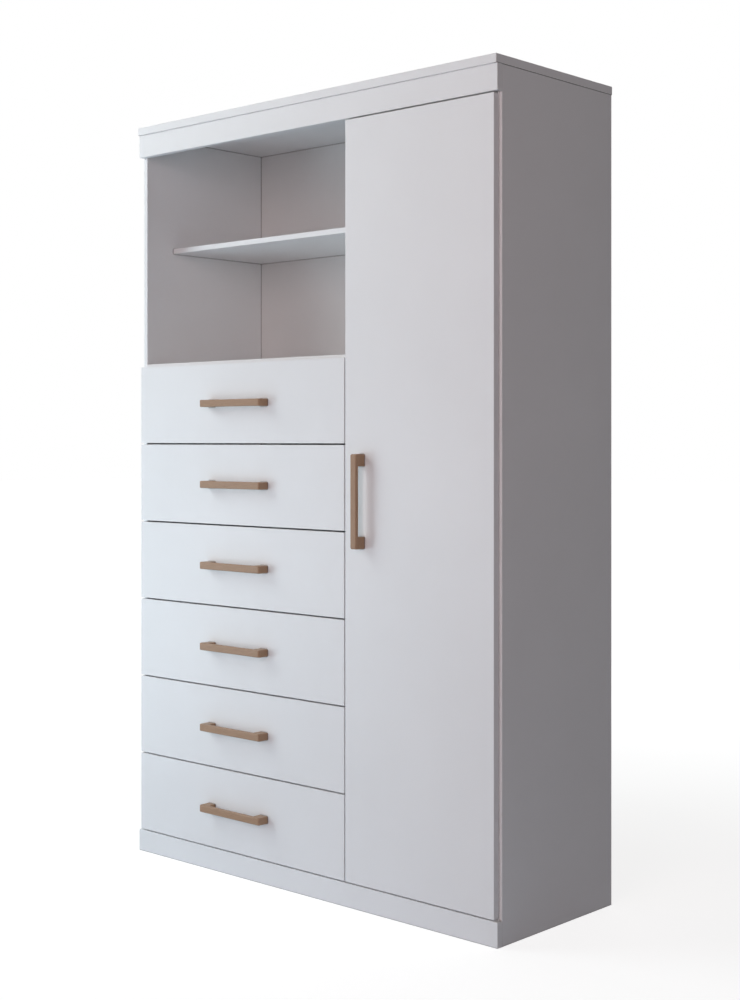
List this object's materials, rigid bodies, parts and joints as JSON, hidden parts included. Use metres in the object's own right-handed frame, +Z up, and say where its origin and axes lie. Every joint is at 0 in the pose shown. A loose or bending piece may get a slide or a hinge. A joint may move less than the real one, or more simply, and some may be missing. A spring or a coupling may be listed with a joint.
{
  "type": "chifforobe",
  "caption": "Tall white chifforobe with a stack of drawers under an open shelved niche, a tall hinged wardrobe door beside them, bow handles and a plinth base.",
  "frame": {"origin": "on the floor, at the middle of the cabinet's width and of its depth with the handles", "axes": "+Z up; -Y out of the fronts, so +Y to the back; +X to the right seen from the front, towards the door's hinges"},
  "size_m": [1.098, 0.427, 1.75],
  "materials": {
    "white_board": "white laminate on particle board, satin",
    "white_sheet": "thin hardboard with a matt white face",
    "rose_handle": "moulded, matt rose beige",
    "zinc_steel": "zinc plated",
    "rail_tube": "satin anodised tube",
    "grey_plastic": "moulded, matt grey",
    "beech": "raw fluted dowel wood"
  },
  "bodies": {
    "carcass": {"top_panel": "white_board", "top_fascia": "white_board", "side_panel_left": "white_board", "side_panel_right": "white_board", "centre_divider": "white_board", "niche_floor": "white_board", "bottom_panel": "white_board", "plinth_front": "white_board", "plinth_rear": "white_board", "base_support": "white_board", "back_panel_left": "white_sheet", "back_panel_right": "white_sheet", "niche_shelf": "white_board", "hanging_rail": "rail_tube", "rail_sockets": "grey_plastic", "hinge_arms": "zinc_steel", "cabinet_runners": "zinc_steel", "cabinet_screws": "zinc_steel", "panel_screws": "zinc_steel", "dowels": "beech"},
    "door": {"door_panel": "white_board", "door_handle": "rose_handle", "door_screws": "zinc_steel", "hinge_cups": "zinc_steel"},
    "drawer_1": {"drawer_1_front": "white_board", "drawer_1_sides": "white_board", "drawer_1_back": "white_board", "drawer_1_bottom": "white_sheet", "drawer_1_handle": "rose_handle", "drawer_1_hardware": "zinc_steel"},
    "drawer_2": {"drawer_2_front": "white_board", "drawer_2_sides": "white_board", "drawer_2_back": "white_board", "drawer_2_bottom": "white_sheet", "drawer_2_handle": "rose_handle", "drawer_2_hardware": "zinc_steel"},
    "drawer_3": {"drawer_3_front": "white_board", "drawer_3_sides": "white_board", "drawer_3_back": "white_board", "drawer_3_bottom": "white_sheet", "drawer_3_handle": "rose_handle", "drawer_3_hardware": "zinc_steel"},
    "drawer_4": {"drawer_4_front": "white_board", "drawer_4_sides": "white_board", "drawer_4_back": "white_board", "drawer_4_bottom": "white_sheet", "drawer_4_handle": "rose_handle", "drawer_4_hardware": "zinc_steel"},
    "drawer_5": {"drawer_5_front": "white_board", "drawer_5_sides": "white_board", "drawer_5_back": "white_board", "drawer_5_bottom": "white_sheet", "drawer_5_handle": "rose_handle", "drawer_5_hardware": "zinc_steel"},
    "drawer_6": {"drawer_6_front": "white_board", "drawer_6_sides": "white_board", "drawer_6_back": "white_board", "drawer_6_bottom": "white_sheet", "drawer_6_handle": "rose_handle", "drawer_6_hardware": "zinc_steel"}
  },
  "joints": [
    {"name": "drawer_1_slide", "type": "slide", "parent": "carcass", "child": "drawer_1", "axis": [0, -1, 0], "range_m": [0, 0.26]},
    {"name": "drawer_2_slide", "type": "slide", "parent": "carcass", "child": "drawer_2", "axis": [0, -1, 0], "range_m": [0, 0.26]},
    {"name": "drawer_3_slide", "type": "slide", "parent": "carcass", "child": "drawer_3", "axis": [0, -1, 0], "range_m": [0, 0.26]},
    {"name": "drawer_4_slide", "type": "slide", "parent": "carcass", "child": "drawer_4", "axis": [0, -1, 0], "range_m": [0, 0.26]},
    {"name": "drawer_5_slide", "type": "slide", "parent": "carcass", "child": "drawer_5", "axis": [0, -1, 0], "range_m": [0, 0.26]},
    {"name": "drawer_6_slide", "type": "slide", "parent": "carcass", "child": "drawer_6", "axis": [0, -1, 0], "range_m": [0, 0.26]},
    {"name": "door_hinge", "type": "hinge", "parent": "carcass", "child": "door", "pos_m": [0.543, -0.1745, 0.86485], "axis": [0, 0, 1], "range_deg": [0, 105]}
  ]
}
